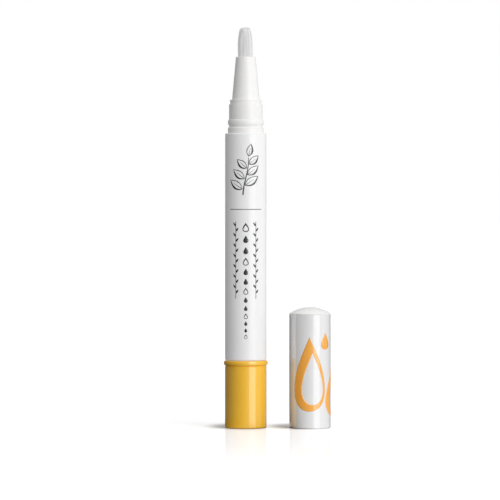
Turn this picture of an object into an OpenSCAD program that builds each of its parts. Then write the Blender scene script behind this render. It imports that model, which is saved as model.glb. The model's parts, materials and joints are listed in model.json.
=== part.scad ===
// Twist-up nail oil pen with its cap taken off and stood beside it.
// Turning the knob screws a flatted rod up through a fixed nut, and the rod pushes a piston
// that feeds oil through a thin tube into the brush.
// Millimetres. Origin: centre of the knob's foot, on the pen's axis. +Z up the pen, +X to the cap.

/* [Body] */
// Outer diameter shared by the barrel, the knob and the cap
body_d = 12; // [11.4:0.1:15]
// Length of barrel that shows between the knob and the brush holder
barrel_len = 65.3; // [56:0.1:90]
// Wall of the barrel round the oil
barrel_wall = 1.1; // [1:0.05:1.2]
// Width of the ledge that the nut stands on
ledge_w = 0.7; // [0.5:0.05:0.8]
// Height of the bead that holds the knob on the barrel's neck
snap_out = 0.25; // [0.1:0.05:0.35]

/* [Knob] */
// Height of the knob with its raised ring
knob_h = 19.5; // [16:0.1:26]
// Wall of the knob round the neck
knob_wall = 0.85; // [0.7:0.05:0.95]
// Thickness of the knob's floor
knob_floor = 1.2; // [0.8:0.1:2]
// Height of the raised ring round the knob's top edge
knob_ring_h = 1.4; // [0.8:0.1:2.2]
// How far the raised ring stands out
knob_ring_out = 0.35; // [0.15:0.05:0.6]
// Depth of the fine groove under the raised ring
ring_line = 0.15; // [0.05:0.05:0.25]
// Rounding of the knob's foot
foot_round = 0.5; // [0.2:0.05:0.8]
// Width of the flat rim that the foot stands on
foot_rim = 1.2; // [0.8:0.1:2]
// Depth of the shallow hollow inside that rim
foot_hollow = 0.2; // [0.1:0.05:0.3]

/* [Screw feed] */
// Step in from the drive sleeve's outside to the flatted rod
rod_in = 1.8; // [1.7:0.05:2]
// Width across the rod's two flats as a share of its diameter
rod_flat_share = 0.75; // [0.7:0.01:0.8]
// Height of the fixed nut
nut_h = 3.3; // [2.6:0.1:5]
// Height of the piston without its nose
piston_h = 6.2; // [5.6:0.1:8]
// Teeth round the ratchet
tooth_count = 24; // [18:3:30]
// Height of a ratchet tooth
tooth_h = 0.4; // [0.3:0.05:0.45]

/* [Brush holder] */
// Length of the plug that seals the barrel
plug_len = 5.5; // [4.8:0.1:7]
// Step in from the barrel's outside to the flange and the snap bead
flange_in = 0.825; // [0.7:0.025:0.9]
// Height of the flange
flange_h = 1.9; // [1.4:0.1:2.6]
// Height of the groove over the flange
groove_h = 0.35; // [0.3:0.05:0.9]
// Height of the snap bead
bead_h = 1.8; // [1.4:0.1:2.4]
// Step in from the barrel's outside to the cylinder that the cap seals on
seat_in = 1.15; // [1.1:0.025:1.3]
// Height of that cylinder
seat_h = 4.3; // [3:0.1:6]
// Step in from the barrel's outside to the small ring above it
ring_in = 1.4; // [1.2:0.05:1.8]
// Height of the small ring
ring_h = 1.3; // [0.8:0.1:2]
// Step in from the barrel's outside to the foot of the cone
cone_in = 2; // [1.85:0.05:2.3]
// Diameter of the cone at the brush
nose_d = 5.76; // [5.6:0.02:6.2]
// Height of the cone
cone_h = 12.4; // [10:0.1:18]
// Rounding of the cone's rim
nose_round = 0.25; // [0.1:0.05:0.3]

/* [Brush] */
// Length of bristle that shows
brush_len = 8.7; // [6:0.1:12]
// Depth of the socket that holds the ferrule
socket_h = 6; // [4:0.1:6.5]
// Diameter of the socket
socket_d = 5; // [4.6:0.05:5.1]
// Outer diameter of the feed tube
tube_d = 1; // [0.8:0.05:1.05]
// Rings of bristles, counted from the brush's axis
tuft_rings = 11; // [11:1:12]

/* [Cap] */
// Room over the brush inside the cap
brush_room = 1.7; // [0.8:0.1:4]
// Thickness of the cap's top
cap_top = 2.5; // [2.3:0.1:4]
// Height of the domed top over the seam
dome_h = 2.1; // [1.2:0.1:2.3]
// Depth of the fine groove at the seam
seam_line = 0.1; // [0.05:0.05:0.2]
// How far the snap ridge stands into the cap's mouth
ridge_in = 0.25; // [0.1:0.05:0.25]
// Distance from the pen's axis to the axis of the standing cap
cap_stand = 18.5; // [16:0.5:40]

/* [Fits] */
// Radial gap round pieces that turn
run_gap = 0.05; // [0.03:0.01:0.08]
// Radial gap round the piston's lips
wipe_gap = 0.03; // [0.02:0.01:0.05]
// Radial gap round pieces that are pressed or seated
seat_gap = 0.02; // [0.01:0.01:0.03]
// Radial gap between the cap's mouth and the holder's flange
cap_gap = 0.075; // [0.05:0.005:0.1]
// Gap that keeps moving pieces clear of fixed ones
free_gap = 0.3; // [0.2:0.05:0.35]

/* [Hidden] */
$fn = 96;

// Overrun of every cut past the face that it opens
over = 0.5;
// Break of moulded edges
edge = 0.2;
// Steps along a half-round bead
bead_steps = 8;

// Radii of the barrel and the knob
body_r = body_d / 2;
bore_r = body_r - barrel_wall;
neck_bore_r = bore_r - ledge_w;
knob_bore_r = body_r - knob_wall;
neck_r = knob_bore_r - run_gap;

// Ribs on the knob's floor that key the click ring
rib_count = 4;
rib_w = 1;
rib_h = 0.9;
rib_in = 0.65;

// Click ring: keyed plate, hub with two flats, and the arms that reach for the ratchet's teeth
plate_h = 1.2;
hub_h = 3;
hub_wall = 0.55;
hub_z = knob_floor + plate_h;
hub_flat = 0.3;
arm_count = 3;
arm_t = 0.3;
arm_h = 2;
arm_gap = 0.15;
arm_sweep = 70;
arm_root = 14;
nose_from_share = 0.1;
nose_to_share = 0.6;

// Drive sleeve: spigot in the click ring, shoulder over the hub, flatted grip at the top
rod_play = 0.2;
spigot_wall = 0.7;
sleeve_wall = 1.1;
sleeve_play = 0.4;
grip_h = 4;
hub_gap = 0.1;
sleeve_r = neck_bore_r - sleeve_play;
rod_r = sleeve_r - rod_in;
rod_flats = 2 * rod_r * rod_flat_share;
spigot_r = rod_r + rod_play + spigot_wall;
sleeve_shoulder_z = hub_z + hub_h + hub_gap;

// Ratchet ring: teeth round the arms, a web over them, and a spigot in the neck's rebate
tooth_play = 0.35;
web_over_teeth = 2.3;
rebate_h = 1.5;
drop_share = 0.15;
ratchet_z = hub_z + free_gap;
teeth_top_z = ratchet_z + hub_h;
tip_r = sleeve_r + tooth_play;
root_r = tip_r + tooth_h;
tooth_pitch = 360 / tooth_count;
rebate_r = (neck_bore_r + neck_r) / 2;

// Levels of the barrel. Its shoulder turns just over the knob's top.
shoulder_gap = 0.1;
neck_z = teeth_top_z + web_over_teeth;
shoulder_z = knob_h + shoulder_gap;
barrel_top_z = shoulder_z + barrel_len;

// Bead on the neck and the groove for it in the knob
snap_h = 1.2;
snap_gap = 0.06;
snap_share = 0.4;
snap_z = neck_z + (shoulder_z - neck_z) * snap_share;

// Levels of the screw feed. The stroke is half of what the pieces leave free in the barrel.
rod_lift = 1;
rod_stay = 1.8;
nut_gap = 0.5;
end_gap = 0.1;
rod_z = knob_floor + rod_lift;
plug_z = barrel_top_z - plug_len;
feed_stack = rod_z + rod_stay + nut_gap + nut_h + free_gap + piston_h + end_gap;
stroke = (plug_z - feed_stack) / 2;
sleeve_top_z = rod_z + stroke + rod_stay;
nut_z = sleeve_top_z + nut_gap;
piston_z = nut_z + nut_h + free_gap;

// Keys on the barrel's ledge that stop the nut from turning
nut_key_w = 1.2;
nut_key_h = 2;
nut_key_in = 0.6;

// Piston lips and waist, and the socket that the rod's head spins in
lip_h = 1.4;
lip_slope = 0.4;
waist_in = 0.5;
piston_nose_h = 1;
throat_in = 0.2;
throat_h = 1.5;
throat_play = 0.15;
head_h = 1.4;
head_gap = 0.1;
head_r = rod_flats / 2;
throat_r = head_r - throat_in;

// Levels and radii of the brush holder, from the barrel's top up to the brush
groove_in = 0.345;
flange_chamfer = 0.4;
bead_z = flange_h + groove_h;
seat_z = bead_z + bead_h;
ring_z = seat_z + seat_h;
cone_z = ring_z + ring_h;
nose_z = cone_z + cone_h;
flange_r = body_r - flange_in;
groove_r = flange_r - groove_in;
seat_r = body_r - seat_in;
ring_r = body_r - ring_in;
cone_r = body_r - cone_in;

// Passages of the brush holder, from its plug up to the ferrule's socket
cup_wall = 1.58;
cup_drop = 2;
funnel_h = 5;
channel_r = 1.6;
web_h = 1.5;
plug_r = bore_r - seat_gap;
cup_r = plug_r - cup_wall;
socket_z = nose_z - socket_h;
web_z = socket_z - web_h;

// O-ring round the plug
seal_cord = 0.9;
seal_groove_h = 1.1;
seal_z = barrel_top_z - plug_len / 2;
seal_r = bore_r - seal_cord / 2 - seat_gap / 2;

// Feed tube, ferrule and the bound root of the bristles
tube_wall = 0.18;
tube_drop = 1.5;
tube_reach = 2.6;
ferrule_wall = 0.27;
ferrule_drop = 0.2;
root_drop = 0.6;
ferrule_r = socket_d / 2 - seat_gap;
tuft_r = ferrule_r - ferrule_wall - seat_gap;
root_z = barrel_top_z + nose_z - root_drop;
tuft_foot_z = barrel_top_z + socket_z;

// Bristles stand on every second cell of a ringed grid that leaves a hole for the feed tube.
// Along a bristle: share of its length, share of the tuft's width, share of its own thickness
grid_sides = 6;
hole_rings = 3;
bristle_shares = [[0.62, 0.93, 0.5], [0.86, 0.8, 0.42], [1, 0.64, 0.3]];
// Share of the length that the outermost bristles lack, and the uneven part of every tip
crown_share = 0.06;
ragged_share = 0.025;
// Step that spreads the uneven lengths, the golden section
spread_share = 0.618034;

// Levels and radii of the cap, measured from its mouth
mouth_chamfer = 0.25;
ridge_h = 0.7;
ridge_share = 0.9;
liner_lift = 0.4;
dome_rim = 0.25;
cap_h = nose_z + brush_len + brush_room + cap_top;
cap_bore_r = flange_r + cap_gap;
ridge_z = flange_h + groove_h * ridge_share;
liner_z = seat_z + liner_lift;
liner_r = cap_bore_r - seat_gap;
seal_bore_r = seat_r + run_gap;
hollow_top_z = cap_h - cap_top;
seam_z = cap_h - dome_h;
dome_rise = dome_h - dome_rim;
dome_r = (body_r * body_r + dome_rise * dome_rise) / (2 * dome_rise);

function polar(r, a) = [r * cos(a), r * sin(a)];

// Points on an arc round [x, y], from one angle to another
function arc(x, y, r, from, to, steps) =
    [for (i = [0:steps]) [x, y] + polar(r, from + (to - from) * i / steps)];

// Half-round outline that stands out of a wall at the radius wall_r, or in if out is negative
function bead(wall_r, z, h, out) =
    [for (i = [0:bead_steps]) let (a = -90 + 180 * i / bead_steps)
        [wall_r + out * cos(a), z + h / 2 * sin(a)]];

// A disc with two flats, across the X axis
module flatted(r, across) {
    intersection() {
        circle(r);
        square([across, 2 * r + over], center = true);
    }
}

module tube(r_out, r_in, h) {
    linear_extrude(h) difference() {
        circle(r_out);
        circle(r_in);
    }
}

// A slice of a flat ring between two angles
module sector(r_in, r_out, from, to) {
    polygon(concat(
        arc(0, 0, r_out, from, to, bead_steps), arc(0, 0, r_in, to, from, bead_steps)
    ));
}

// Copies spread evenly round the axis
module around(count) {
    for (i = [0:count - 1]) rotate(i * 360 / count) children();
}

// The tube that is held. Its lower bore ends in the ledge for the nut, its neck carries the knob.
module barrel() {
    color("white") {
        rotate_extrude() polygon(concat(
            [[neck_bore_r, neck_z + rebate_h], [rebate_r, neck_z + rebate_h],
                [rebate_r, neck_z], [neck_r - edge, neck_z], [neck_r, neck_z + edge]],
            bead(neck_r, snap_z, snap_h, snap_out),
            [[neck_r, shoulder_z], [body_r - edge, shoulder_z], [body_r, shoulder_z + edge],
                [body_r, barrel_top_z - edge], [body_r - edge, barrel_top_z],
                [bore_r, barrel_top_z], [bore_r, nut_z], [neck_bore_r, nut_z]]
        ));
        around(2) translate([bore_r - nut_key_in, -nut_key_w / 2, nut_z])
            cube([nut_key_in + barrel_wall / 2, nut_key_w, nut_key_h]);
    }
}

// The turning foot of the pen
module knob_shell() {
    groove_h = snap_h + 2 * snap_gap;
    ring_mid_z = knob_h - knob_ring_h / 2;
    line_z = knob_h - knob_ring_h - ring_line;
    hollow_r = body_r - foot_round - foot_rim;
    color([0.94, 0.75, 0.26]) {
        rotate_extrude() polygon(concat(
            [[0, foot_hollow], [hollow_r - foot_hollow, foot_hollow], [hollow_r, 0]],
            arc(body_r - foot_round, foot_round, foot_round, -90, 0, bead_steps),
            [[body_r, line_z - ring_line], [body_r - ring_line, line_z]],
            bead(body_r, ring_mid_z, knob_ring_h, knob_ring_out),
            [[knob_bore_r, knob_h]],
            [for (i = [bead_steps:-1:0]) bead(knob_bore_r, snap_z, groove_h, snap_out)[i]],
            [[knob_bore_r, knob_floor], [0, knob_floor]]
        ));
        around(rib_count) translate([knob_bore_r - rib_in, -rib_w / 2, knob_floor])
            cube([rib_in + knob_wall / 2, rib_w, rib_h]);
    }
}

// Keyed plate with a hub and three springy arms, whose noses rest in the ratchet's teeth
module click_ring() {
    hub_r = spigot_r + seat_gap + hub_wall;
    arm_r = hub_r + arm_gap;
    nose_a = tooth_pitch * nose_from_share;
    heel_a = tooth_pitch * nose_to_share;
    color("gainsboro") {
        difference() {
            union() {
                translate([0, 0, knob_floor]) cylinder(h = plate_h, r = neck_r - run_gap);
                translate([0, 0, knob_floor]) cylinder(h = plate_h + hub_h, r = hub_r);
            }
            translate([0, 0, knob_floor - over]) linear_extrude(plate_h + hub_h + 2 * over)
                flatted(spigot_r + seat_gap, 2 * (spigot_r - hub_flat + seat_gap));
            around(rib_count)
                translate([knob_bore_r - rib_in - seat_gap, -rib_w / 2 - run_gap, knob_floor - over])
                    cube([rib_in + over, rib_w + 2 * run_gap, plate_h + 2 * over]);
        }
        translate([0, 0, ratchet_z + free_gap]) linear_extrude(arm_h) around(arm_count) {
            sector(hub_r - arm_t / 2, arm_r + arm_t, -arm_sweep, -arm_sweep + arm_root);
            sector(arm_r, arm_r + arm_t, -arm_sweep, heel_a);
            polygon([
                polar(arm_r + arm_t / 2, nose_a), polar(root_r - 2 * run_gap, nose_a),
                polar(tip_r - run_gap, heel_a), polar(arm_r + arm_t / 2, heel_a)
            ]);
        }
    }
}

// Ring of one-way teeth, with a spigot that is set in the end of the neck
module ratchet_ring() {
    web_r = tip_r - run_gap;
    spigot_out_r = rebate_r - seat_gap;
    color("silver") {
        translate([0, 0, ratchet_z]) linear_extrude(teeth_top_z - ratchet_z) difference() {
            circle(neck_r);
            polygon([for (i = [0:tooth_count - 1]) each [
                polar(root_r, i * tooth_pitch), polar(tip_r, (i + 1 - drop_share) * tooth_pitch)
            ]]);
        }
        rotate_extrude() polygon([
            [web_r, teeth_top_z], [neck_r, teeth_top_z], [neck_r, neck_z], [spigot_out_r, neck_z],
            [spigot_out_r, neck_z + rebate_h], [neck_bore_r, neck_z + rebate_h],
            [neck_bore_r, neck_z], [web_r, neck_z]
        ]);
    }
}

// Tube that turns with the knob and carries the rod round by its flats
module drive_sleeve() {
    step_z = sleeve_shoulder_z + sleeve_wall;
    color("lightgray") difference() {
        union() {
            translate([0, 0, knob_floor]) linear_extrude(sleeve_shoulder_z - knob_floor)
                flatted(spigot_r, 2 * (spigot_r - hub_flat));
            translate([0, 0, sleeve_shoulder_z])
                cylinder(h = sleeve_top_z - sleeve_shoulder_z, r = sleeve_r);
        }
        translate([0, 0, knob_floor - over])
            cylinder(h = step_z - knob_floor + 2 * over, r = spigot_r - spigot_wall);
        translate([0, 0, step_z])
            cylinder(h = sleeve_top_z - grip_h - step_z, r = sleeve_r - sleeve_wall);
        translate([0, 0, sleeve_top_z - grip_h - over]) linear_extrude(grip_h + 2 * over)
            flatted(rod_r + run_gap, rod_flats + 2 * run_gap);
    }
}

// Fixed nut, slotted over the two keys on the barrel's ledge
module screw_nut() {
    color("silver") translate([0, 0, nut_z]) difference() {
        cylinder(h = nut_h, r = bore_r - seat_gap);
        translate([0, 0, -over]) cylinder(h = nut_h + 2 * over, r = rod_r + run_gap);
        around(2) translate([bore_r - nut_key_in - seat_gap, -nut_key_w / 2 - run_gap, -over])
            cube([nut_key_in + over, nut_key_w + 2 * run_gap, nut_key_h + over + run_gap]);
    }
}

// Flatted feed rod. Its shoulder pushes the piston and its head snaps into it.
module screw_rod() {
    push_z = piston_z - run_gap;
    head_z = piston_z + throat_h + head_gap;
    color("whitesmoke") {
        translate([0, 0, rod_z]) linear_extrude(push_z - rod_z) flatted(rod_r, rod_flats);
        translate([0, 0, push_z]) cylinder(h = head_z - push_z, r = throat_r - throat_play);
        translate([0, 0, head_z]) cylinder(h = head_h, r = head_r);
    }
}

// Piston with two wiping lips, a nose that enters the holder's cup, and a socket underneath
module piston() {
    lip_r = bore_r - wipe_gap;
    waist_r = lip_r - waist_in;
    nose_r = cup_r - free_gap;
    socket_r = head_r + head_gap;
    socket_top = throat_h + head_gap + head_h + free_gap;
    color([0.86, 0.88, 0.9]) translate([0, 0, piston_z]) rotate_extrude() polygon([
        [throat_r, 0], [lip_r - edge, 0], [lip_r, edge], [lip_r, lip_h],
        [waist_r, lip_h + lip_slope], [waist_r, piston_h - lip_h - lip_slope],
        [lip_r, piston_h - lip_h], [lip_r, piston_h], [nose_r, piston_h],
        [nose_r - edge, piston_h + piston_nose_h], [0, piston_h + piston_nose_h],
        [0, socket_top], [socket_r, socket_top], [socket_r, throat_h], [throat_r, throat_h]
    ]);
}

// Stepped collar and cone: plug, flange, snap bead, cap seat, ring, cone and the brush socket
module brush_holder() {
    hole_r = tube_d / 2 + seat_gap;
    cup_top = ring_z - cup_drop;
    color([0.97, 0.96, 0.94]) difference() {
        translate([0, 0, barrel_top_z]) rotate_extrude() polygon(concat(
            [[cup_r, -plug_len], [plug_r - edge, -plug_len], [plug_r, edge - plug_len],
                [plug_r, 0], [flange_r, 0], [flange_r, flange_h - flange_chamfer],
                [groove_r, flange_h]],
            bead(groove_r, bead_z + bead_h / 2, bead_h, groove_in),
            [[seat_r, seat_z], [seat_r, ring_z], [ring_r - edge / 2, ring_z], [ring_r, cone_z],
                [cone_r, cone_z]],
            arc(nose_d / 2 - nose_round, nose_z - nose_round, nose_round, 0, 90, bead_steps),
            [[socket_d / 2, nose_z], [socket_d / 2, socket_z], [hole_r, socket_z], [hole_r, web_z],
                [channel_r, web_z], [channel_r, cup_top + funnel_h], [cup_r, cup_top]]
        ));
        translate([0, 0, seal_z - seal_groove_h / 2])
            tube(bore_r + over, seal_r - seal_cord / 2 - seat_gap, seal_groove_h);
    }
}

// O-ring between the plug and the barrel
module holder_seal() {
    color("dimgray") translate([0, 0, seal_z]) rotate_extrude()
        translate([seal_r, 0]) circle(seal_cord / 2);
}

// Thin tube from the holder's channel into the bristles
module feed_tube() {
    color("ghostwhite") translate([0, 0, barrel_top_z + web_z - tube_drop])
        tube(tube_d / 2, tube_d / 2 - tube_wall, tube_drop + web_h + socket_h + tube_reach);
}

// Collar that binds the bristles, pressed into the nose
module brush_ferrule() {
    color("white") translate([0, 0, tuft_foot_z])
        tube(ferrule_r, ferrule_r - ferrule_wall, socket_h - ferrule_drop);
}

// Grid of the bristles' roots. Ring k has k points a side, and they are numbered from first(k).
function first(k) = grid_sides * (k * (k - 1) - hole_rings * (hole_rings - 1)) / 2;
function spot(k, j) = first(k) + j % (grid_sides * k);
function ring_points(k, z) = [for (j = [0:grid_sides * k - 1])
    concat(polar(tuft_r * k / tuft_rings, 360 * j / (grid_sides * k)), z)];
// Cells of sector s between rings k - 1 and k, with two corners on the outer or the inner ring
function wide_out(s, k, i) =
    [spot(k - 1, s * (k - 1) + i), spot(k, s * k + i), spot(k, s * k + i + 1)];
function wide_in(s, k, i) =
    [spot(k - 1, s * (k - 1) + i), spot(k, s * k + i + 1), spot(k - 1, s * (k - 1) + i + 1)];
// Bristles take one kind of cell in even sectors and the other in odd ones, so that no two of
// them share a side. The other cells are the floor between them.
function cells(s, k, out) =
    [for (i = [0:out ? k - 1 : k - 2]) out ? wide_out(s, k, i) : wide_in(s, k, i)];
function all_cells(even_out) = [for (s = [0:grid_sides - 1]) for (k = [hole_rings + 1:tuft_rings])
    each cells(s, k, (s % 2 == 0) == even_out)];

// A value from 0 to 1 that looks uneven from one bristle to the next
function uneven(n) = n * spread_share - floor(n * spread_share);

// The corners of one bristle at each level above its root, three to a level
function bristle_points(n, corners) =
    let (
        mid = (corners[0] + corners[1] + corners[2]) / 3,
        lost = crown_share * pow(norm(mid) / tuft_r, 2) + ragged_share * uneven(n),
        length = (brush_len + root_drop) * (1 - lost)
    )
    [for (level = bristle_shares) for (c = corners)
        concat((mid + (c - mid) * level[2]) * level[1], root_z + level[0] * length)];

// Two triangles between the corners a, b of one ring and c, d above them, seen from outside
function wall(a, b, c, d) = [[a, c, b], [b, c, d]];

// Bound bristles as one closed surface: a ring-shaped slice of the root, and the bristles on it
module brush_tuft() {
    grid = [for (k = [hole_rings:tuft_rings]) each ring_points(k, root_z)];
    roots = all_cells(true);
    outer = grid_sides * tuft_rings;
    inner = grid_sides * hole_rings;
    outer_foot = len(grid);
    inner_foot = outer_foot + outer;
    tips = inner_foot + inner;
    levels = len(bristle_shares);
    points = concat(
        grid, ring_points(tuft_rings, tuft_foot_z), ring_points(hole_rings, tuft_foot_z),
        [for (n = [0:len(roots) - 1]) each bristle_points(n,
            [for (c = roots[n]) [grid[c][0], grid[c][1]]])]
    );
    function corner(n, level, c) =
        level == 0 ? roots[n][c] : tips + (n * levels + level - 1) * 3 + c;
    bristles = [for (n = [0:len(roots) - 1]) for (l = [0:levels - 1]) for (c = [0:2])
        let (d = (c + 1) % 3)
        each wall(corner(n, l, c), corner(n, l, d), corner(n, l + 1, c), corner(n, l + 1, d))];
    ends = [for (n = [0:len(roots) - 1]) [for (c = [0, 2, 1]) corner(n, levels, c)]];
    floor_faces = [for (f = all_cells(false)) [f[0], f[2], f[1]]];
    sides = [for (j = [0:outer - 1]) each
        wall(outer_foot + j, outer_foot + (j + 1) % outer, spot(tuft_rings, j), spot(tuft_rings, j + 1))];
    bore = [for (j = [0:inner - 1]) each
        wall(inner_foot + (j + 1) % inner, inner_foot + j, spot(hole_rings, j + 1), spot(hole_rings, j))];
    // The foot joins each outer side to the inner corner that lies nearest to it
    near = function (j) floor((j + 0.5) * inner / outer);
    foot = [for (j = [0:outer - 1]) let (k = j + 1) each concat(
        [[outer_foot + j, outer_foot + k % outer, inner_foot + near(j) % inner]],
        near(j) == near(k) ? [] :
            [[outer_foot + k % outer, inner_foot + near(k) % inner, inner_foot + near(j) % inner]]
    )];
    color([0.82, 0.82, 0.83])
        polyhedron(points, concat(floor_faces, bristles, ends, sides, bore, foot));
}

// Printed outer tube of the cap, with the snap ridge in its mouth
module cap_sleeve() {
    color("white") translate([cap_stand, 0, 0]) rotate_extrude() polygon(concat(
        [[cap_bore_r + mouth_chamfer, 0], [body_r - mouth_chamfer, 0],
            [body_r, mouth_chamfer], [body_r, seam_z - seam_line], [body_r - seam_line, seam_z],
            [cap_bore_r, seam_z]],
        [for (i = [bead_steps:-1:0]) bead(cap_bore_r, ridge_z, ridge_h, -ridge_in)[i]],
        [[cap_bore_r, mouth_chamfer]]
    ));
}

// Inner cap: seals on the holder, clears the cone and the brush, and closes the sleeve
module cap_liner() {
    foot_r = cone_r + free_gap;
    tip_r = nose_d / 2 + free_gap;
    foot_z = cone_z + edge;
    color([0.97, 0.96, 0.94]) translate([cap_stand, 0, 0]) rotate_extrude() {
        polygon([
            [seal_bore_r + edge, liner_z], [liner_r, liner_z], [liner_r, seam_z], [0, seam_z],
            [0, hollow_top_z], [tip_r - edge, hollow_top_z], [tip_r, hollow_top_z - edge],
            [tip_r, nose_z + free_gap], [foot_r, foot_z], [seal_bore_r, foot_z],
            [seal_bore_r, liner_z + edge]
        ]);
        intersection() {
            translate([0, cap_h - dome_r]) circle(dome_r);
            polygon([
                [0, seam_z], [body_r - seam_line, seam_z], [body_r, seam_z + seam_line],
                [body_r, cap_h], [0, cap_h]
            ]);
        }
    }
}

barrel();
knob_shell();
click_ring();
ratchet_ring();
drive_sleeve();
screw_nut();
screw_rod();
piston();
brush_holder();
holder_seal();
feed_tube();
brush_ferrule();
brush_tuft();
cap_sleeve();
cap_liner();
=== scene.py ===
# The nail oil pen and its cap: finishes, fine shapes, prints, table and light
import json
import math
import random

import bmesh
import bpy
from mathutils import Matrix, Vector


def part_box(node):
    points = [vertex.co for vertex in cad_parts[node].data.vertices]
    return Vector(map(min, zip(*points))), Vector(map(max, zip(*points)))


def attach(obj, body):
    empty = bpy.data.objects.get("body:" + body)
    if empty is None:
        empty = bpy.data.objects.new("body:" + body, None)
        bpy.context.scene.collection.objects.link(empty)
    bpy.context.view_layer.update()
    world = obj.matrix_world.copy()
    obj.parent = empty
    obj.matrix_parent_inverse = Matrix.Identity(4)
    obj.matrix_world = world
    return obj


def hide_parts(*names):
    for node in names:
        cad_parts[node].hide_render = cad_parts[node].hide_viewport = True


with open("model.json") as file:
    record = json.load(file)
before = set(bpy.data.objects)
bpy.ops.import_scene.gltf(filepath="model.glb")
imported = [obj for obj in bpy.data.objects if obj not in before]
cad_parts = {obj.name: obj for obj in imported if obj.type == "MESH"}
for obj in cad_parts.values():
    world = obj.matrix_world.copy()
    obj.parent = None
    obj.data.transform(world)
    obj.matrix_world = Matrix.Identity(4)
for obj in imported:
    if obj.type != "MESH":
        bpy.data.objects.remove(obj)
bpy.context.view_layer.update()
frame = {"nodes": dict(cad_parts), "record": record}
nodes = frame["nodes"]
mm = 0.001
print("frame loaded:", len(nodes), "nodes")

# A long lens, a metre and a half away and a little over the table
camera = {
    "distance": 1470 * mm,
    "height": 87.8 * mm,
    "aim": (1.2 * mm, 0, 51.3 * mm),
    "frameWide": 144 * mm,
    "sensorWide": 36,    # mm, as Blender counts it
    "near": 0.05, "far": 60,
}


def makeCamera(look):
    lens = bpy.data.cameras.new("camera")
    lens.sensor_width = look["sensorWide"]
    lens.lens = lens.sensor_width * look["distance"] / look["frameWide"]
    lens.clip_start, lens.clip_end = look["near"], look["far"]
    eye = bpy.data.objects.new("camera", lens)
    bpy.context.scene.collection.objects.link(eye)
    aim = Vector(look["aim"])
    eye.location = (aim.x, -look["distance"], look["height"])
    eye.rotation_euler = (aim - eye.location).to_track_quat("-Z", "Y").to_euler()
    bpy.context.scene.camera = eye


makeCamera(camera)
bpy.context.scene.view_settings.view_transform = "Standard"
print("camera placed")


# What a shader node gives out. Sums written with it add their Math nodes.
class Signal:
    def __init__(self, finish, socket):
        self.finish, self.socket = finish, socket

    def __add__(self, other):
        return self.finish.math("ADD", self, other)

    def __sub__(self, other):
        return self.finish.math("SUBTRACT", self, other)

    def __rsub__(self, other):
        return self.finish.math("SUBTRACT", other, self)

    def __mul__(self, other):
        return self.finish.math("MULTIPLY", self, other)

    __radd__, __rmul__ = __add__, __mul__


# The shader nodes of one material, or of the world
class Finish:
    def __init__(self, owner):
        owner.use_nodes = True
        self.owner, self.tree = owner, owner.node_tree
        self.tree.nodes.clear()

    def pick(self, sockets, key):
        if isinstance(key, int):
            return sockets[key]
        return next(s for s in sockets if key == s.name and not s.is_unavailable)

    def node(self, kind, settings=None, sockets=None, out=0):
        made = self.tree.nodes.new("ShaderNode" + kind)
        for name, value in (settings or {}).items():
            setattr(made, name, value)
        for key, value in (sockets or {}).items():
            socket = self.pick(made.inputs, key)
            if isinstance(value, Signal):
                self.tree.links.new(value.socket, socket)
            else:
                socket.default_value = value
        return made if out is None else Signal(self, self.pick(made.outputs, out))

    def math(self, operation, *values):
        return self.node("Math", {"operation": operation}, dict(enumerate(values)))

    def mix(self, share, low, high):
        return self.node("Mix", {"data_type": "RGBA"}, {"Factor": share, "A": low, "B": high}, "Result")

    def grade(self, value, start, end, low=0.0, high=1.0):
        return self.node("MapRange", {"interpolation_type": "SMOOTHSTEP"}, {
            "Value": value, "From Min": start, "From Max": end, "To Min": low, "To Max": high})

    def grain(self, scale, detail=2.0, stretch=(1, 1, 1)):
        place = self.node("TexCoord", out="Object")
        place = self.node("VectorMath", {"operation": "MULTIPLY"}, {0: place, 1: stretch})
        return self.node("TexNoise", {}, {"Vector": place, "Scale": scale, "Detail": detail})

    def show(self, surface, kind="Material"):
        self.node("Output" + kind, {}, {"Surface": surface}, None)
        return self.owner


# Moulded plastic: slow drifts of colour and gloss, and the faint skin that a polished mould leaves
def plastic(name, look):
    finish = Finish(bpy.data.materials.new(name))
    drift = finish.grain(look["driftScale"], detail=3)
    lines = finish.grain(look["lineScale"], stretch=(1, 1, look["lineStretch"]))
    skin = finish.grain(look["skinScale"])
    height = skin * look["skinShare"] + lines * (1 - look["skinShare"])
    bump = finish.node("Bump", {}, {"Height": height, "Distance": look["skinDeep"]}, "Normal")
    sockets = {
        "Base Color": finish.mix(drift, look["colour"], look["drifted"]),
        "Roughness": drift * look["roughDrift"] + look["rough"],
        "Normal": bump,
        "IOR": look["ior"],
        "Specular IOR Level": look["gloss"],
        "Emission Color": look["colour"],
        "Emission Strength": look.get("paintedGlow", 0.0),    # painted glow that stands in for light that pale plastic scatters inside, lifting its shaded side
    }
    if "lacquer" in look:    # a clear coat that shows at a slant
        slant = finish.node("LayerWeight", out="Facing")
        sockets["Coat Weight"] = finish.grade(slant, look["slantFrom"], look["slantTo"], high=look["lacquer"])
        sockets["Coat IOR"] = look["lacquerIor"]
        sockets["Coat Roughness"] = look["lacquerRough"]
    return finish.show(finish.node("BsdfPrincipled", {}, sockets))
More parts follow.
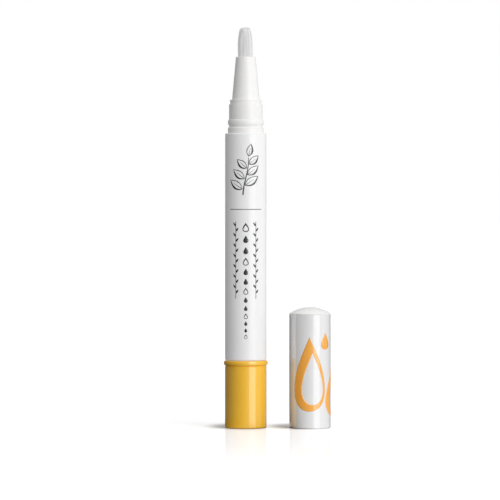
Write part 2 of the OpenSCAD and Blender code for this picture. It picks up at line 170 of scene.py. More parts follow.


# The barrel's and the holder's whites are written low, because their painted glow adds to them
whiteTube = {
    "colour": (0.725, 0.725, 0.73, 1), "drifted": (0.713, 0.714, 0.719, 1),
    "rough": 0.11, "roughDrift": 0.08, "ior": 1.49, "gloss": 0.35, "paintedGlow": 0.195,
    "driftScale": 160, "lineScale": 1800, "lineStretch": 0.02,
    "skinScale": 2200, "skinShare": 0.5, "skinDeep": 0.0016 * mm,
}
capWhite = {
    "colour": (0.80, 0.80, 0.805, 1), "drifted": (0.788, 0.789, 0.794, 1),
    "rough": 0.07, "roughDrift": 0.05, "ior": 1.49, "gloss": 0.8,
    "lacquer": 1.0, "slantFrom": 0.12, "slantTo": 0.36, "lacquerIor": 2.2, "lacquerRough": 0.03,
    "driftScale": 160, "lineScale": 1800, "lineStretch": 0.02,
    "skinScale": 2200, "skinShare": 0.5, "skinDeep": 0.0012 * mm,
}
warmWhite = {
    "colour": (0.722, 0.72, 0.71, 1), "drifted": (0.71, 0.706, 0.694, 1),
    "rough": 0.22, "roughDrift": 0.1, "ior": 1.49, "gloss": 0.35, "paintedGlow": 0.195,
    "driftScale": 200, "lineScale": 1500, "lineStretch": 0.1,
    "skinScale": 2600, "skinShare": 0.8, "skinDeep": 0.002 * mm,
}
goldenYellow = {
    "colour": (0.98, 0.55, 0.038, 1), "drifted": (0.965, 0.535, 0.034, 1),
    "rough": 0.10, "roughDrift": 0.06, "ior": 1.5, "gloss": 0.9,
    "driftScale": 180, "lineScale": 1700, "lineStretch": 0.03,
    "skinScale": 2200, "skinShare": 0.6, "skinDeep": 0.0016 * mm,
}
naturalResin = {
    "colour": (0.80, 0.80, 0.78, 1), "drifted": (0.76, 0.76, 0.73, 1),
    "rough": 0.38, "roughDrift": 0.12, "ior": 1.5, "gloss": 0.5,
    "driftScale": 300, "lineScale": 2400, "lineStretch": 0.3,
    "skinScale": 3000, "skinShare": 0.7, "skinDeep": 0.004 * mm,
}
softPiston = {
    "colour": (0.82, 0.845, 0.87, 1), "drifted": (0.79, 0.815, 0.845, 1),
    "rough": 0.42, "roughDrift": 0.1, "ior": 1.5, "gloss": 0.5,
    "driftScale": 260, "lineScale": 2000, "lineStretch": 0.5,
    "skinScale": 2600, "skinShare": 0.8, "skinDeep": 0.004 * mm,
}
sealRubber = {
    "colour": (0.016, 0.016, 0.017, 1), "drifted": (0.024, 0.024, 0.025, 1),
    "rough": 0.5, "roughDrift": 0.15, "ior": 1.52, "gloss": 0.5,
    "driftScale": 500, "lineScale": 3000, "lineStretch": 1,
    "skinScale": 5000, "skinShare": 0.9, "skinDeep": 0.006 * mm,
}

finishes = {
    "white_plastic": plastic("white_tube_plastic", whiteTube),
    "holder_plastic": plastic("warm_white_plastic", warmWhite),
    "yellow_plastic": plastic("golden_yellow_plastic", goldenYellow),
    "inner_plastic": plastic("natural_resin", naturalResin),
    "piston_plastic": plastic("soft_piston_plastic", softPiston),
    "seal_rubber": plastic("seal_rubber", sealRubber),
}
for part in frame["record"]["subparts"]:
    if part["material_slot"] in finishes:
        for slot in nodes[part["node"]].material_slots:
            slot.material = finishes[part["material_slot"]]
for slot in nodes["cap_sleeve"].material_slots:    # the cap's white has a gloss of its own
    slot.material = plastic("white_cap_plastic", capWhite)
print("plastics set")


# A new closed mesh that rides on a body
def newPiece(name, points, faces, finish, body, slot=None, sharp=None):
    mesh = bpy.data.meshes.new(name)
    mesh.from_pydata(points, [], faces)
    shape = bmesh.new()
    shape.from_mesh(mesh)
    bmesh.ops.recalc_face_normals(shape, faces=shape.faces)
    shape.to_mesh(mesh)
    shape.free()
    mesh.polygons.foreach_set("use_smooth", [True] * len(mesh.polygons))
    if sharp:
        mesh.set_sharp_from_angle(angle=math.radians(sharp))
    mesh.materials.append(finish)
    piece = bpy.data.objects.new(name, mesh)
    bpy.context.scene.collection.objects.link(piece)
    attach(piece, body)
    return piece


# Low and high ends of a CAD node along the pen
def ends(node):
    low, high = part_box(node)
    return low[2], high[2]


# Nylon: the strands and their locks have tones of their own, because the grain is drawn out along
# the brush, and the tips let more light through
def nylon(name, look):
    finish = Finish(bpy.data.materials.new(name))
    strand = finish.grain(look["strandScale"], detail=1, stretch=(1, 1, look["strandStretch"]))
    lock = finish.grain(look["lockScale"], detail=1, stretch=(1, 1, look["lockStretch"]))
    tone = strand * (1 - look["lockShare"]) + lock * look["lockShare"]
    tone = finish.grade(tone, look["toneFrom"], look["toneTo"])
    solid = finish.node("BsdfPrincipled", {}, {
        "Base Color": finish.mix(tone, look["dark"], look["light"]),
        "Roughness": tone * look["roughDrift"] + look["rough"],
        "IOR": look["ior"],
        "Emission Color": look["light"],
        "Emission Strength": look["paintedGlow"],    # painted glow that stands in for light that the nylon scatters inside, lifting its shaded side
    })
    glow = finish.node("BsdfTranslucent", {}, {"Color": look["through"]})
    top = ends("brush_tuft")[1]
    up = finish.node("SeparateXYZ", {}, {0: finish.node("TexCoord", out="Object")}, "Z")
    clear = finish.grade(up, top - look["clearDown"], top, look["clear"], look["clearTip"])
    return finish.show(finish.node("MixShader", {}, {0: clear, 1: solid, 2: glow}))


brush = {
    "seed": 7,
    "strands": 1500,
    "thick": 0.092 * mm,      # through one strand
    "sides": 5,
    "steps": 10,
    "crowding": 1.6,          # over 1, a strand's rings stand closer towards its tip
    "from": 2.5 * mm,         # below the holder's rim
    "tubeEnd": 0.15 * mm,     # over the feed tube's end the strands close together
    "closing": 2.8 * mm,
    "core": 0.56 * mm,
    # share of the length that shows, and the brush's radius there in mm
    "outline": [(-0.3, 2.14), (0.30, 2.14), (0.49, 2.09), (0.65, 1.98), (0.78, 1.82),
                (0.88, 1.62), (0.95, 1.45), (1.0, 1.32)],
    # shares of its length that a strand lacks: by its way out, with its lock and by itself
    "crownLost": 0.022, "crownPower": 3,
    "lockLost": 0.03,
    "ragged": 0.035, "raggedPower": 0.25,
    # what comes on towards its tip: it thins, it bends to its lock's middle and it strays
    "tipThin": 0.5, "thinPower": 3,
    "locks": 34, "lockPull": 0.2, "pullPower": 3,
    "stray": 0.05 * mm, "strayPower": 4,
    # the whole brush leans sideways between two shares of the length that shows
    "lean": -0.2 * mm, "leanFrom": -0.35, "leanTo": 0.5,
    "rootHigh": 5.0 * mm, "rootWide": 2.17 * mm,
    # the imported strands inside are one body: depth under the outer ones and under the tips
    "packedIn": 0.01 * mm, "packedDown": 0.38 * mm,
    "packedRings": 24, "packedAround": 48,
    "packedFlat": 60,         # the higher this power, the flatter the body's top
    "packedLeast": 0.02,      # share of the radius that is left in its middle
    "pinhole": 0.02 * mm,
    # nylon
    "dark": (0.5, 0.5, 0.504, 1),
    "light": (0.74, 0.74, 0.745, 1),
    "strandScale": 9000, "strandStretch": 0.004,
    "lockScale": 1900, "lockStretch": 0.02, "lockShare": 0.7,
    "toneFrom": 0.38, "toneTo": 0.62,
    # the emission strength on the next line is a painted glow, lifting the tuft's shaded side
    "rough": 0.34, "roughDrift": 0.1, "ior": 1.53, "paintedGlow": 0.315,
    "through": (0.97, 0.97, 0.97, 1), "clear": 0.45, "clearTip": 0.5, "clearDown": 1.2 * mm,
}


def onLine(table, x):
    for (x0, y0), (x1, y1) in zip(table, table[1:]):
        if x <= x1:
            return y0 + (y1 - y0) * max(0, x - x0) / (x1 - x0)
    return table[-1][1]


def smooth(share):    # eases from 0 to 1
    share = min(1, max(0, share))
    return share * share * (3 - 2 * share)


# The strands in their locks, and the body of packed ones that they stand round
class Tuft:
    def __init__(self, look):
        self.look = look
        self.golden = math.pi * (3 - math.sqrt(5))
        self.foot, self.top = ends("brush_tuft")
        self.rim = ends("brush_holder")[1]
        self.shown = self.top - self.rim
        self.low = self.rim - look["from"]
        self.tubeEnd = ends("feed_tube")[1] + look["tubeEnd"]
        self.outline = [(self.rim + self.shown * share, radius * mm) for share, radius in look["outline"]]
        self.points, self.faces = [], []
        random.seed(look["seed"])
        self.locks = [self.lock(i) for i in range(look["locks"])]

    def lock(self, i):
        out, turn = self.spread(i, self.look["locks"], 0, 1), i * self.golden
        return out * math.cos(turn), out * math.sin(turn), self.look["lockLost"] * random.random()

    # Distance from the axis of strand i, when all of them share the room evenly
    def spread(self, i, count, core, radius):
        return math.sqrt(core ** 2 + (radius ** 2 - core ** 2) * (i + 0.5) / count)

    def lean(self, z):
        low, high = self.look["leanFrom"], self.look["leanTo"]
        return self.look["lean"] * smooth(((z - self.rim) / self.shown - low) / (high - low))

    def strand(self, i):
        look, turn = self.look, i * self.golden
        sides, steps = look["sides"], look["steps"]
        wide = self.outline[0][1]
        share = self.spread(i, look["strands"], look["core"], wide) / wide
        home = (share * math.cos(turn), share * math.sin(turn))
        lock = min(self.locks, key=lambda p: (p[0] - home[0]) ** 2 + (p[1] - home[1]) ** 2)
        lost = look["crownLost"] * share ** look["crownPower"] + lock[2]
        lost += look["ragged"] * random.random() ** look["raggedPower"]
        end = self.top - (self.top - self.low) * lost
        drift = random.uniform(0, 2 * math.pi)
        stray = look["stray"] * random.random()
        first = len(self.points)
        for k in range(steps + 1):
            up = 1 - (1 - k / steps) ** look["crowding"]
            z = self.low + (end - self.low) * up
            core = look["core"] * (1 - smooth((z - self.tubeEnd) / look["closing"]))
            radius = onLine(self.outline, z)
            out = self.spread(i, look["strands"], core, radius)
            pull = look["lockPull"] * up ** look["pullPower"]
            off = stray * up ** look["strayPower"]
            x = out * math.cos(turn) * (1 - pull) + lock[0] * radius * pull
            y = out * math.sin(turn) * (1 - pull) + lock[1] * radius * pull
            x += off * math.cos(drift) + self.lean(z)
            y += off * math.sin(drift)
            thick = look["thick"] / 2 * (1 - look["tipThin"] * up ** look["thinPower"])
            for s in range(sides):
                a = 2 * math.pi * s / sides + turn
                self.points.append((x + thick * math.cos(a), y + thick * math.sin(a), z))
        for k in range(steps):
            for s in range(sides):
                a, b = first + k * sides + s, first + k * sides + (s + 1) % sides
                self.faces.append((a, b, b + sides, a + sides))
        self.faces.append(tuple(first + steps * sides + s for s in range(sides)))
        self.faces.append(tuple(first + s for s in reversed(range(sides))))

    # The bound root round the feed tube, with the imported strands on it, as one closed body
    def root(self):
        look = self.look
        crown, packedTop = self.foot + look["rootHigh"], self.top - look["packedDown"]
        rings = [(look["core"], self.foot), (look["rootWide"], self.foot), (look["rootWide"], crown)]
        for k in range(look["packedRings"] + 1):
            z = crown + (packedTop - crown) * math.sin(k / look["packedRings"] * math.pi / 2)
            shut = ((z - crown) / (packedTop - crown)) ** look["packedFlat"]
            shut = max(math.sqrt(max(0, 1 - shut)), look["packedLeast"])
            rings.append(((onLine(self.outline, z) - look["packedIn"]) * shut, z))
        for z in (packedTop - look["packedIn"], self.tubeEnd + look["closing"] / 2):
            rings.append((look["pinhole"], z))
        rings += [(look["core"], self.tubeEnd), (look["core"], crown)]
        first, around = len(self.points), look["packedAround"]
        for radius, z in rings:
            for s in range(around):
                a = 2 * math.pi * s / around
                self.points.append((radius * math.cos(a) + self.lean(z), radius * math.sin(a), z))
        for k in range(len(rings)):
            for s in range(around):
                a, b = first + k * around, first + (k + 1) % len(rings) * around
                t = (s + 1) % around
                self.faces.append((a + s, a + t, b + t, b + s))


tuft = Tuft(brush)
for number in range(brush["strands"]):
    tuft.strand(number)
tuft.root()
bristles = newPiece("bristles", tuft.points, tuft.faces, nylon("nylon_bristle", brush),
                    "pen", "bristle")
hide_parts("brush_tuft")
print("bristles made:", brush["strands"])

# The lead screw's thread, on the rod and in the nut
thread = {
    "lead": 2.5 * mm,
    "crest": 2.0 * mm, "root": 1.64 * mm, "halfFlats": 1.5 * mm,
    "crestShare": 0.16, "slopeShare": 0.1,   # of the lead, each side of a crest's middle
    "neck": 1.15 * mm, "neckLong": 1.65 * mm, "head": 1.5 * mm, "headLong": 1.4 * mm,
    "around": 64, "ringsPerTurn": 28, "sharpFrom": 35,    # edges over these degrees stay sharp
    "nutIn": 0.65 * mm, "nutBore": 2.06 * mm, "nutCrest": 1.72 * mm, "nutSteps": 64,
    "play": 0.12 * mm,
}


def rodRadius(look, angle, z):
    away = abs((z / look["lead"] - angle / (2 * math.pi) + 0.5) % 1 - 0.5)
    rise = min(1, max(0, (look["crestShare"] + look["slopeShare"] - away) / look["slopeShare"]))
    radius = look["root"] + (look["crest"] - look["root"]) * rise
    toFlat = max(abs(math.cos(angle)), 1e-6)    # the flats face along X
    return min(radius, look["halfFlats"] / toFlat)


def makeRod(look):
    around = look["around"]
    angles = [2 * math.pi * s / around for s in range(around)]
    foot, top = ends("screw_rod")
    neckTop = top - look["headLong"]
    push = neckTop - look["neckLong"]
    rings = int((push - foot) / look["lead"] * look["ringsPerTurn"])
    points = []
    for k in range(rings + 1):
        z = foot + (push - foot) * k / rings
        radii = [rodRadius(look, a, z) for a in angles]
        points += [(r * math.cos(a), r * math.sin(a), z) for r, a in zip(radii, angles)]
    for radius, z in ((look["neck"], push), (look["neck"], neckTop),
                      (look["head"], neckTop), (look["head"], top)):
        points += [(radius * math.cos(a), radius * math.sin(a), z) for a in angles]
    faces = []
    for k in range(len(points) // around - 1):
        for s in range(around):
            a, b = k * around + s, k * around + (s + 1) % around
            faces.append((a, b, b + around, a + around))
    faces.append(tuple(reversed(range(around))))
    faces.append(tuple(range(len(points) - around, len(points))))
    return points, faces


def makeNutThread(look):
    lead, steps = look["lead"], look["nutSteps"]
    half = lead * (0.5 - look["crestShare"]) - look["play"]
    slope = lead * look["slopeShare"]
    section = [(look["nutBore"], -half), (look["nutCrest"], slope - half),
               (look["nutCrest"], half - slope), (look["nutBore"], half)]
    corners = len(section)
    low, high = ends("screw_nut")
    turns = (high - low - 2 * look["nutIn"]) / lead
    start = (low + look["nutIn"]) / lead - 0.5
    points, faces = [], []
    for k in range(steps + 1):
        turn = start + turns * k / steps
        a = 2 * math.pi * turn
        points += [(r * math.cos(a), r * math.sin(a), (turn + 0.5) * lead + up) for r, up in section]
    for k in range(steps):
        for s in range(corners):
            a, b = corners * k + s, corners * k + (s + 1) % corners
            faces.append((a, b, b + corners, a + corners))
    faces += [tuple(reversed(range(corners))), tuple(corners * steps + s for s in range(corners))]
    return points, faces


rod = newPiece("threaded_rod", *makeRod(thread), finishes["inner_plastic"],
               "rod", "inner_plastic", thread["sharpFrom"])
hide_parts("screw_rod")
newPiece("nut_thread", *makeNutThread(thread), finishes["inner_plastic"],
         "pen", "inner_plastic", thread["sharpFrom"])
print("thread cut")


# Printing ink and foil: flat colour with a slight starve in it and a gloss of its own
def ink(name, look):
    finish = Finish(bpy.data.materials.new(name))
    starve = finish.grain(look["starveScale"], detail=3)
    starve = finish.grade(starve, look["starveFrom"], look["starveTo"])
    surface = finish.node("BsdfPrincipled", {}, {
        "Base Color": finish.mix(starve, look["colour"], look["thin"]),
        "Roughness": starve * look["roughDrift"] + look["rough"],
        "Metallic": look["metal"],
        "Specular IOR Level": look["gloss"],
    })
    return finish.show(surface)


dropShape = {
    "pinch": 1.35,                 # the higher this power, the longer the drop's tip
    "swell": 0.702,                # with this pinch, it makes the drop as wide as asked
    "from": 0.04, "reach": 0.93,   # share of half its outline that a full drop's rows follow
}


# A point of a drop's outline, which goes once round from the tip
def dropPoint(t, wide, tall):
    lean = abs(math.sin(t / 2)) ** dropShape["pinch"]
    return -wide * dropShape["swell"] * math.sin(t) * lean, tall / 2 * math.cos(t)


# Films of ink on a round wall, drawn as rows of (round, up) points
class Film:
    thick, sunk = 0.012 * mm, 0.05 * mm    # over the wall, and inside it

    def __init__(self, radius, middle=0.0):
        self.radius, self.middle = radius, middle
        self.points, self.faces = [], []

    def put(self, s, z, radius):
        a = s / self.radius
        self.points.append((self.middle + radius * math.sin(a), -radius * math.cos(a), z))

    def patch(self, rows, closed=False):
        wide, count, top = len(rows[0]), len(rows), len(self.points)
        under = top + wide * count
        for radius in (self.radius + self.thick, self.radius - self.sunk):
            for row in rows:
                for s, z in row:
                    self.put(s, z, radius)
        for i in range(count if closed else count - 1):
            here, after = i * wide, (i + 1) % count * wide
            for k in range(wide - 1):
                a, b = here + k, after + k
                self.faces.append((top + a, top + a + 1, top + b + 1, top + b))
                self.faces.append((under + a, under + b, under + b + 1, under + a + 1))
            for k in (0, wide - 1):
                a, b = here + k, after + k
                self.faces.append((top + a, top + b, under + b, under + a))
        if not closed:
            for a in (0, (count - 1) * wide):
                for k in range(wide - 1):
                    self.faces.append((top + a + k, top + a + k + 1, under + a + k + 1, under + a + k))

    # A brush stroke along a path, with half a width at each of its points
    def stroke(self, path, halves, across=2):
        rows = []
        for i, (s, z) in enumerate(path):
            back, ahead = path[max(0, i - 1)], path[min(len(path) - 1, i + 1)]
            ds, dz = ahead[0] - back[0], ahead[1] - back[1]
            size = math.hypot(ds, dz)
            sides = [(2 * k / across - 1) * halves[i] / size for k in range(across + 1)]
            rows.append([(s + dz * side, z - ds * side) for side in sides])
        self.patch(rows)

    # A drop: its outline goes from the tip round the foot and back, and so does its hole's
    def drop(self, place, up, wide, tall, left, right, foot, tip, across=8, steps=120):
        rows = []
        for i in range(steps):
            t = 2 * math.pi * i / steps
            outer = dropPoint(t, wide, tall)
            inner = dropPoint(t, wide - left - right, tall - foot - tip)
            inner = inner[0] + (left - right) / 2, inner[1] + (foot - tip) / 2
            rows.append([(place + outer[0] + (inner[0] - outer[0]) * k / across,
                          up + outer[1] + (inner[1] - outer[1]) * k / across)
                         for k in range(across + 1)])
        self.patch(rows, closed=True)

    def fullDrop(self, place, up, wide, tall, across=4, steps=28):
        rows = []
        for i in range(steps + 1):
            t = math.pi * (dropShape["from"] + dropShape["reach"] * i / steps)
            half, z = dropPoint(t, wide, tall)
            rows.append([(place + half * (2 * k / across - 1), up + z) for k in range(across + 1)])
        self.patch(rows)


barrelPrint = {
    "radius": 6.0 * mm,
    # the branch's stem: shares of its room that it fills and of its line that it loses
    "foot": 67.3 * mm, "top": 81.3 * mm, "stem": 0.22 * mm, "stemTall": 0.76, "stemTaper": 0.55,
    "stemBend": 0.8 * mm, "stemPhase": 0.45, "stemSteps": 30,
    # its leaves: of two numbers, the second is what the first loses towards the top; leans in degrees
    "leafPairs": 3, "leafFrom": 0.13, "leafReach": 0.84, "leafStagger": 0.105, "leafGap": 0.4 * mm,
    "leafLong": 5.0 * mm, "leafLongShares": (0.98, 0.33),
    "leafWide": 1.05 * mm, "leafWideShares": (1, 0.22),
    "leafLean": (58, 14), "leafBelly": 0.85, "leafSteps": 20,
    "topLeafLong": 0.72, "topLeafWide": 0.78, "topLeafLean": 12,
    # half a leaf's line, what it swells by on the heavy side, and shares of the fine half
    "fine": 0.10 * mm, "bold": 0.20 * mm, "lightSide": 0.5, "lineEnd": 0.7,
    "veinFrom": 0.04, "veinReach": 0.62, "veinTaper": 1.05, "veinSteps": 5,
    # the rule
    "ruleUp": 63.1 * mm, "ruleHalf": 5.0 * mm, "ruleThin": 0.12 * mm, "ruleSteps": 40,
    # the chain: each third drop is drawn as a line, thicker under its tip, and the others are full
    "chainTop": 59.3 * mm, "chainFoot": 25.5 * mm, "chainDrops": 13,
    "chainWide": 1.9 * mm, "chainTall": 2.7 * mm, "chainShrink": 0.5,
    "lineEvery": 3, "lineShare": 0.15, "lineTip": 0.26, "fullWide": 0.8, "fullTall": 0.86,
    # the twigs on both sides of it
    "twigTop": 59.6 * mm, "twigFoot": 37.5 * mm, "twigAway": 3.0 * mm, "twigStem": 0.085 * mm,
    "twigSteps": 20, "twigLeaves": 14, "twigLeaf": 1.35 * mm, "twigWide": 0.27 * mm, "twigLean": 38,
    "twigEnd": 0.12, "twigBelly": 0.8, "twigLeafSteps": 8,
}
darkFoil = {
    "colour": (0.09, 0.09, 0.093, 1), "thin": (0.125, 0.125, 0.13, 1),
    "rough": 0.16, "roughDrift": 0.1, "metal": 1.0, "gloss": 0.5,
    "starveScale": 2600, "starveFrom": 0.25, "starveTo": 0.75,
}
greyInk = {
    "colour": (0.20, 0.20, 0.205, 1), "thin": (0.26, 0.26, 0.265, 1),
    "rough": 0.3, "roughDrift": 0.1, "metal": 0.0, "gloss": 0.4,
    "starveScale": 2600, "starveFrom": 0.25, "starveTo": 0.75,
}


def evenShares(steps):
    return [i / steps for i in range(steps + 1)]


# A leaf in outline, heavier on its lower side, with a vein
def leaf(film, foot, lean, long, wide, look):
    sin, cos = math.sin(lean), math.cos(lean)

    def at(u, w):
        return (foot[0] + sin * u * long + cos * w, foot[1] + cos * u * long - sin * w)

    shares = evenShares(look["leafSteps"])
    for side in (-1, 1):
        path = [at(u, side * wide * math.sin(math.pi * u ** look["leafBelly"])) for u in shares]
        swell = look["bold"] if side * lean > 0 else look["fine"] * look["lightSide"]
        film.stroke(path, [look["fine"] * look["lineEnd"] + swell * math.sin(math.pi * u) for u in shares])
    vein = [look["veinFrom"] + look["veinReach"] * u for u in evenShares(look["veinSteps"])]
    film.stroke([at(u, 0) for u in vein], [look["fine"] * (look["veinTaper"] - u) for u in vein])


def makeBranch(film, look):
    low, tall = look["foot"], (look["top"] - look["foot"]) * look["stemTall"]

    def stem(u):
        return (look["stemBend"] * math.sin(math.pi * (u - look["stemPhase"])), low + tall * u)

    def upTo(key, u):
        return look[key][0] - look[key][1] * u

    shares = evenShares(look["stemSteps"])
    film.stroke([stem(u) for u in shares], [look["stem"] * (1 - look["stemTaper"] * u) for u in shares])
    for i in range(look["leafPairs"]):
        u = look["leafFrom"] + look["leafReach"] * i / look["leafPairs"]
        for side in (-1, 1):
            foot = stem(u + (look["leafStagger"] if side > 0 else 0))
            lean = side * math.radians(upTo("leafLean", u))
            start = foot[0] + look["leafGap"] * math.sin(lean), foot[1] + look["leafGap"] * math.cos(lean)
            leaf(film, start, lean, look["leafLong"] * upTo("leafLongShares", u),
                 look["leafWide"] * upTo("leafWideShares", u), look)
    tip = stem(1)
    leaf(film, (tip[0], tip[1] + look["leafGap"]), math.radians(look["topLeafLean"]),
         look["leafLong"] * look["topLeafLong"], look["leafWide"] * look["topLeafWide"], look)


def makeChain(film, look):
    count = look["chainDrops"]
    sizes = [1 - look["chainShrink"] * i / (count - 1) for i in range(count)]
    reach = look["chainTop"] - look["chainFoot"]
    z = look["chainTop"]
    for i, size in enumerate(sizes):
        wide, tall = look["chainWide"] * size, look["chainTall"] * size
        if i % look["lineEvery"] == 0:
            line = look["lineShare"] * wide
            film.drop(0, z - tall / 2, wide, tall, line, line, line, tall * look["lineTip"],
                      across=2, steps=48)
        else:
            film.fullDrop(0, z - tall / 2, wide * look["fullWide"], tall * look["fullTall"])
        z -= reach * size / sum(sizes)


def makeTwig(film, look, side):
    s = side * look["twigAway"]
    low, top, count = look["twigFoot"], look["twigTop"], look["twigLeaves"]
    stem = [(s, low + (top - low) * u) for u in evenShares(look["twigSteps"])]
    film.stroke(stem, [look["twigStem"]] * len(stem))
    end, long = look["twigEnd"], look["twigLeaf"]
    shares = evenShares(look["twigLeafSteps"])
    halves = [look["twigWide"] * (end + (1 - end) * math.sin(math.pi * u ** look["twigBelly"]))
              for u in shares]
    for i in range(count):
        z = top - long - (top - low - long) * i / count
        lean = math.radians(look["twigLean"]) * (1 if i % 2 else -1)
        film.stroke([(s + math.sin(lean) * u * long, z + math.cos(lean) * u * long) for u in shares], halves)


def makeBarrelPrint(look):
    foil, grey = Film(look["radius"]), Film(look["radius"])
    makeBranch(foil, look)
    makeChain(foil, look)
    for side in (-1, 1):
        makeTwig(foil, look, side)
    rule = [(look["ruleHalf"] * (2 * u - 1), look["ruleUp"]) for u in evenShares(look["ruleSteps"])]
    grey.stroke(rule, [look["ruleThin"]] * len(rule))
    newPiece("barrel_print", foil.points, foil.faces, ink("dark_foil", darkFoil), "pen")
    newPiece("barrel_rule", grey.points, grey.faces, ink("grey_ink", greyInk), "pen")


makeBarrelPrint(barrelPrint)

capPrint = {
    "radius": 6.0 * mm,
    # in mm: place round the cap in degrees, middle's height, width and height, then the line's
    # thickness on the left, on the right, at the foot and under the tip
    "drops": [
        (-2, 15.8, 9.6, 21.6, 2.6, 0.75, 1.9, 4.6),
        (88, 11.0, 8.6, 15.0, 2.3, 0.6, 1.5, 3.4),
        (172, 16.4, 9.0, 21.6, 2.5, 0.75, 1.9, 4.6),
        (-118, 20.6, 6.4, 12.0, 1.7, 0.6, 1.3, 2.8),
    ],
    # full drops: place, middle's height, width and height
    "beads": [(46, 25.2, 2.9, 4.9), (106, 23.0, 2.1, 3.6), (-104, 7.6, 2.5, 4.2), (-146, 6.6, 2.8, 4.7),
              (124, 28.0, 2.4, 4.0)],
}
amberInk = {
    "colour": (0.93, 0.40, 0.045, 1), "thin": (0.94, 0.425, 0.062, 1),
    "rough": 0.12, "roughDrift": 0.1, "metal": 0.0, "gloss": 1.0,
    "starveScale": 1500, "starveFrom": 0.25, "starveTo": 0.75,
}


def makeCapPrint(look):
    low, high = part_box("cap_sleeve")
    amber = Film(look["radius"], (low[0] + high[0]) / 2)
    for place, *sizes in look["drops"]:
        amber.drop(math.radians(place) * look["radius"], *[size * mm for size in sizes])
    for place, *sizes in look["beads"]:
        amber.fullDrop(math.radians(place) * look["radius"], *[size * mm for size in sizes])
    newPiece("cap_print", amber.points, amber.faces, ink("amber_ink", amberInk), "cap")


makeCapPrint(capPrint)
print("prints laid")

# A white table. The camera sees plain white paper, a soft shadow at the feet, partly real and
# partly painted, and a faint shine in front of them. Other rays find paper with painted shade
# on the left and between the feet and painted light on the right, a shine far off there, and one
# nearer by that only a low ray meets.
table = {
    "half": 3.0, "under": 0.02 * mm,
    "middle": 9.2 * mm,       # between the pen and the cap
    # paper for other rays, with painted shade and light on it: near the feet, dark on the left and
    # between them and light elsewhere, and from there on darker on the left and lighter on the right
    "shadedPaper": 0.04, "litPaper": 0.70, "leftTo": -14 * mm, "leftFrom": 2 * mm,
    "gap": (8 * mm, -3 * mm), "gapTo": 5 * mm, "gapFrom": 13 * mm,
    "nearTo": 0.02, "farFrom": 0.10,
    "shadedLeftPaper": 0.24, "litRightPaper": 0.55, "acrossTo": -0.05, "acrossFrom": 0.05,
    # paper for the camera, with a glow that whitens it but stops round two points behind the feet;
    # there the paper stays darker, partly real soft shadow and partly painted shadow
    "seenPaper": 0.77, "seenFar": 0.98, "seenFrom": 0.1, "seenTo": 0.8,
    "glow": 0.46, "glowFrom": 3.5 * mm, "glowTo": 10.5 * mm,
    "shadows": [(-3.0 * mm, 8 * mm), (14.5 * mm, 8 * mm)], "shadowDeep": 0.5,
    # the shine in front of the feet, for all rays
    "shine": 0.27, "shineFrom": 0.004, "shineTo": 0.25, "shineRough": 0.06,
    "frontFrom": 1 * mm, "frontTo": 6 * mm, "asideFrom": 18 * mm, "asideTo": 60 * mm,
    # the shines on the right, for other rays
    "sideShine": 0.75, "sideFrom": 0.08, "sideTo": 0.13,
    "grazeFrom": 6 * mm, "grazeTo": 20 * mm, "ior": 1.5,
}


def tableFinish(look):
    finish = Finish(bpy.data.materials.new("white_table"))
    place = finish.node("TexCoord", out="Object")
    across = finish.node("SeparateXYZ", {}, {0: place}, "X")
    front = 0 - finish.node("SeparateXYZ", {}, {0: place}, "Y")
    seen = finish.node("LightPath", out="Is Camera Ray")

    def reach(x, y, deep=1.0):
        away = finish.node("VectorMath", {"operation": "SUBTRACT"}, {0: place, 1: (x, y, 0)})
        away = finish.node("VectorMath", {"operation": "MULTIPLY"}, {0: away, 1: (1, deep, 1)})
        return finish.node("VectorMath", {"operation": "LENGTH"}, {0: away}, "Value")

    middle = reach(look["middle"], 0)
    # painted shade and light for other rays: darker paper on the left and between the feet, lighter on the
    # right
    lit = finish.grade(across, look["leftTo"], look["leftFrom"])
    lit = finish.math("MINIMUM", lit, finish.grade(reach(*look["gap"]), look["gapTo"], look["gapFrom"]))
    near = lit * (look["litPaper"] - look["shadedPaper"]) + look["shadedPaper"]
    far = finish.grade(across, look["acrossTo"], look["acrossFrom"], look["shadedLeftPaper"], look["litRightPaper"])
    other = near + (far - near) * finish.grade(middle, look["nearTo"], look["farFrom"])
    white = finish.grade(middle, look["seenFrom"], look["seenTo"], look["seenPaper"], look["seenFar"])
    paper = finish.node("BsdfDiffuse", {}, {"Color": finish.mix(seen, other, white)})
    # the glow stops round the shadow points, so the paper there stays darker: painted shadow round the real
    # one
    shadow = finish.math("MINIMUM", *[reach(x, y, look["shadowDeep"]) for x, y in look["shadows"]])
    glow = finish.grade(shadow, look["glowFrom"], look["glowTo"]) * seen
    glow = finish.mix(glow, (0, 0, 0, 1), (look["glow"],) * 3 + (1,))
    paper = finish.node("AddShader", {}, {0: paper, 1: finish.node("Emission", {}, {"Color": glow})})
    ahead = finish.grade(middle, look["shineFrom"], look["shineTo"], low=look["shine"], high=0.0)
    ahead = ahead * finish.grade(front, look["frontFrom"], look["frontTo"])
    aside = finish.math("ABSOLUTE", across - look["middle"])
    ahead = ahead * finish.grade(aside, look["asideFrom"], look["asideTo"], low=1.0, high=0.0)
    side = finish.grade(across, look["sideFrom"], look["sideTo"], high=look["sideShine"])
    grazing = finish.node("Fresnel", {}, {"IOR": look["ior"]})
    grazing = grazing * finish.grade(across, look["grazeFrom"], look["grazeTo"])
    side = finish.math("MAXIMUM", side, grazing) * (1 - seen)
    shine = finish.node("BsdfGlossy", {}, {"Color": (1, 1, 1, 1), "Roughness": look["shineRough"]})
    return finish.show(finish.node("MixShader", {}, {
        0: finish.math("MAXIMUM", ahead, side), 1: paper, 2: shine}))


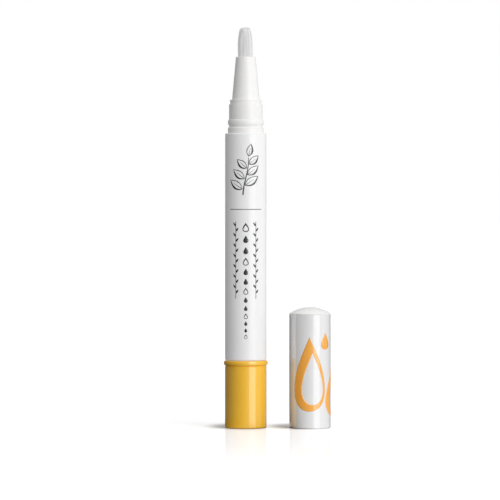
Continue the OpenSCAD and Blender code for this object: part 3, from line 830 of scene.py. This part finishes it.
def makeTable(look):
    h, z = look["half"], -look["under"]
    mesh = bpy.data.meshes.new("table")
    mesh.from_pydata([(-h, -h, z), (h, -h, z), (h, h, z), (-h, h, z)], [], [(0, 1, 2, 3)])
    mesh.materials.append(tableFinish(look))
    board = bpy.data.objects.new("table", mesh)
    bpy.context.scene.collection.objects.link(board)
    return board


makeTable(table)
print("table laid")

# The room: dim on the left, brighter on the right and above, white behind the pen
room = {
    "dim": (0.10, 0.10, 0.10, 1), "bright": (0.74, 0.74, 0.74, 1),
    "brightSide": (0.78, -0.58, 0.24), "brightFrom": -0.45, "brightTo": 1.0,
    "above": (1.0, 1.0, 1.0, 1), "aboveFrom": 0.45, "aboveTo": 1.0,
    "behindFrom": 0.90, "behindTo": 0.97,
    "softbox": {"turn": 37, "away": 0.95, "wide": 0.62, "tall": 1.05, "radiance": 2.96},
}


def makeRoom(look):
    world = bpy.data.worlds.new("room")
    bpy.context.scene.world = world
    finish = Finish(world)
    ray = finish.node("TexCoord", out="Generated")

    def toward(direction):
        return finish.node("VectorMath", {"operation": "DOT_PRODUCT"}, {0: ray, 1: direction}, "Value")

    side = tuple(Vector(look["brightSide"]).normalized())
    bright = finish.grade(toward(side), look["brightFrom"], look["brightTo"])
    colour = finish.mix(bright, look["dim"], look["bright"])
    above = finish.grade(toward((0, 0, 1)), look["aboveFrom"], look["aboveTo"])
    colour = finish.mix(above, colour, look["above"])
    seen = finish.node("LightPath", out="Is Camera Ray")
    behind = finish.grade(toward((0, 1, 0)), look["behindFrom"], look["behindTo"])
    colour = finish.mix(finish.math("MAXIMUM", behind, seen), colour, (1, 1, 1, 1))
    finish.show(finish.node("Background", {}, {"Color": colour}), "World")
    box = look["softbox"]
    lamp = bpy.data.lights.new("softbox", "AREA")
    lamp.shape = "RECTANGLE"
    lamp.size, lamp.size_y = box["wide"], box["tall"]
    lamp.energy = box["radiance"] * math.pi * box["wide"] * box["tall"]
    holder = bpy.data.objects.new("softbox", lamp)
    bpy.context.scene.collection.objects.link(holder)
    turn = math.radians(box["turn"])
    holder.location = (box["away"] * math.sin(turn), -box["away"] * math.cos(turn), box["tall"] / 2)
    holder.rotation_euler = (math.radians(90), 0, turn)
    holder.visible_camera = False


makeRoom(room)
print("room lit")

bpy.context.view_layer.update()
